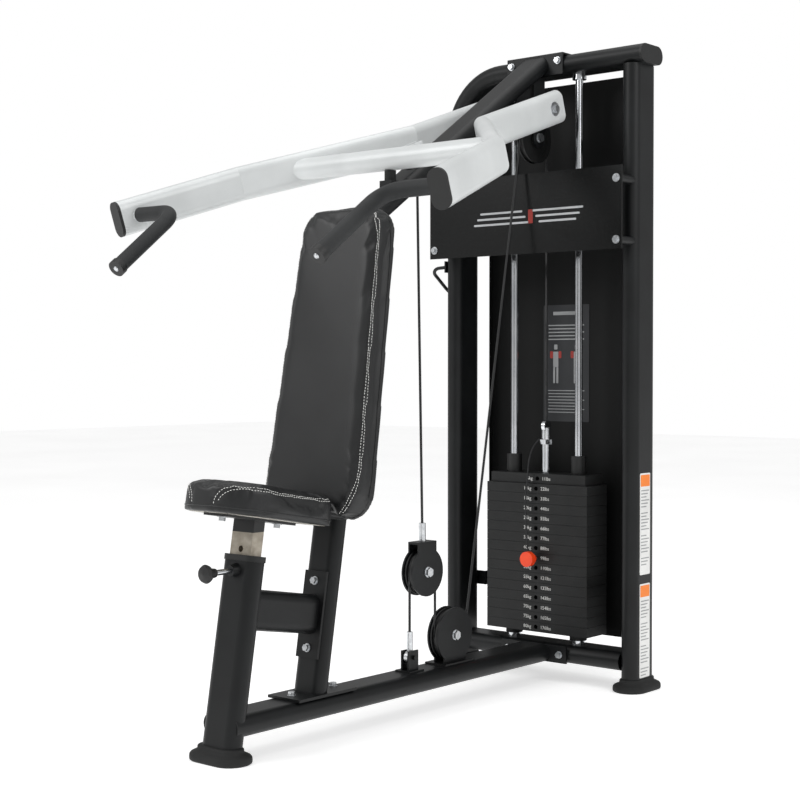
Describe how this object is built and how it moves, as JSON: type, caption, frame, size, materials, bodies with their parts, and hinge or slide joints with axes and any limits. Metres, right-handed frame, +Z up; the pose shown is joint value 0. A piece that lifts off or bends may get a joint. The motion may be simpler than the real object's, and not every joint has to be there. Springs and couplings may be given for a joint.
{
  "type": "seated shoulder press machine",
  "caption": "Seated shoulder press machine with a pin-selected weight stack, pivoting press arm with two handles, padded backrest and height-adjustable seat.",
  "frame": {"origin": "on the floor, at the middle of the front foot's sole", "axes": "+Z up, +Y from the front foot towards the weight tower, X across; the user sits facing -Y; the frame's mirror plane is X = 0"},
  "size_m": [0.9604, 1.2742, 1.564],
  "materials": {
    "frame_paint": "satin black powder coat",
    "arm_paint": "silver metallic powder coat",
    "cover_paint": "matt black powder coat",
    "rubber": "moulded",
    "black_plastic": "moulded nylon",
    "chrome": "polished hard chrome",
    "zinc": "bright zinc plate",
    "bare_steel": "bare drawn steel, black at the top",
    "plates": "black enamel, white numbers",
    "leather": "black PU leather, white double stitching",
    "board": "plywood under black cloth",
    "cable": "steel cable in a black nylon coat",
    "lanyard": "braided cord",
    "red_plastic": "moulded",
    "label": "printed film"
  },
  "bodies": {
    "root": {"tower_hoop": "frame_paint", "tower_upright": "frame_paint", "top_tube_cap": "black_plastic", "base_crossbar": "frame_paint", "main_beam": "frame_paint", "front_leg": "frame_paint", "rubber_feet": "rubber", "leg_collar": "black_plastic", "backrest_spine": "frame_paint", "back_pad_board": "board", "back_pad": "leather", "pivot_housing": "frame_paint", "pivot_bearings": "zinc", "arm_bumper": "rubber", "guide_rods": "chrome", "stack_buffers": "rubber", "resting_plates": "plates", "front_panel": "cover_paint", "cover_standoffs": "frame_paint", "rear_cover": "cover_paint", "instruction_labels": "label", "pulley_brackets": "frame_paint", "pulley_bolts": "zinc", "anchor_cable_sleeve": "zinc", "cable_front_strands": "cable", "cable_rear_run": "cable", "cable_stack_drop": "cable", "frame_bolts": "zinc", "bottle_holder": "frame_paint"},
    "press_arm": {"arm_right": "arm_paint", "arm_left": "arm_paint", "arm_crossbar": "arm_paint", "pivot_shaft": "zinc", "arm_end_caps": "black_plastic", "hand_grips": "rubber", "grip_end_collars": "zinc", "cable_lug": "arm_paint"},
    "floating_block": {"block_housing": "frame_paint", "block_pulley_bolt": "zinc", "cable_block_lift": "cable", "lift_cable_ends": "zinc"},
    "block_wheel": {"block_pulley": "black_plastic", "block_pulley_bearing": "zinc"},
    "base_wheel": {"base_pulley": "black_plastic", "base_pulley_bearing": "zinc"},
    "top_wheel": {"top_pulley": "black_plastic", "top_pulley_bearing": "zinc"},
    "stack": {"lifted_plates": "plates", "top_plate": "plates", "guide_bushes": "black_plastic", "selector_rod": "chrome", "pin_lanyard": "lanyard"},
    "pin": {"selector_pin": "zinc", "selector_pin_knob": "red_plastic"},
    "seat": {"seat_board": "board", "seat_pad": "leather", "seat_post": "bare_steel", "seat_bolts": "zinc"},
    "pop_pin": {"pop_pin_shaft": "zinc", "pop_pin_knob": "black_plastic"}
  },
  "joints": [
    {"name": "arm_pivot", "type": "hinge", "parent": "root", "child": "press_arm", "pos_m": [0, 0.9828, 1.407], "axis": [-1, 0, 0], "range_deg": [0, 36.41]},
    {"name": "block_lift", "type": "slide", "parent": "root", "child": "floating_block", "axis": [0, 0, 1], "range_m": [0, 0.245], "deforming": ["cable_front_strands"]},
    {"name": "block_wheel_spin", "type": "hinge", "parent": "floating_block", "child": "block_wheel", "pos_m": [0, 0.6334, 0.315], "axis": [1, 0, 0], "range_deg": [0, 310]},
    {"name": "base_wheel_spin", "type": "hinge", "parent": "root", "child": "base_wheel", "pos_m": [0, 0.7354, 0.157], "axis": [-1, 0, 0], "range_deg": [0, 510]},
    {"name": "top_wheel_spin", "type": "hinge", "parent": "root", "child": "top_wheel", "pos_m": [0, 1.0734, 1.358], "axis": [1, 0, 0], "range_deg": [0, 510]},
    {"name": "stack_lift", "type": "slide", "parent": "root", "child": "stack", "axis": [0, 0, 1], "range_m": [0, 0.49], "deforming": ["cable_stack_drop"]},
    {"name": "pin_pull", "type": "slide", "parent": "stack", "child": "pin", "axis": [0, -1, 0], "range_m": [0, 0.1]},
    {"name": "seat_height", "type": "slide", "parent": "root", "child": "seat", "axis": [0, 0.1685, 0.9857], "range_m": [0, 0.12]},
    {"name": "pop_pin_pull", "type": "slide", "parent": "root", "child": "pop_pin", "axis": [0, -1, 0], "range_m": [0, 0.012], "stiffness_N_per_m": 900}
  ],
  "couplings": [
    {"joint": "block_lift", "follows": "arm_pivot", "m_per_rad": 0.38343},
    {"joint": "block_wheel_spin", "follows": "arm_pivot", "ratio": 8.3354},
    {"joint": "base_wheel_spin", "follows": "arm_pivot", "ratio": 13.694},
    {"joint": "top_wheel_spin", "follows": "arm_pivot", "ratio": 13.694},
    {"joint": "stack_lift", "follows": "arm_pivot", "m_per_rad": 0.76685}
  ]
}
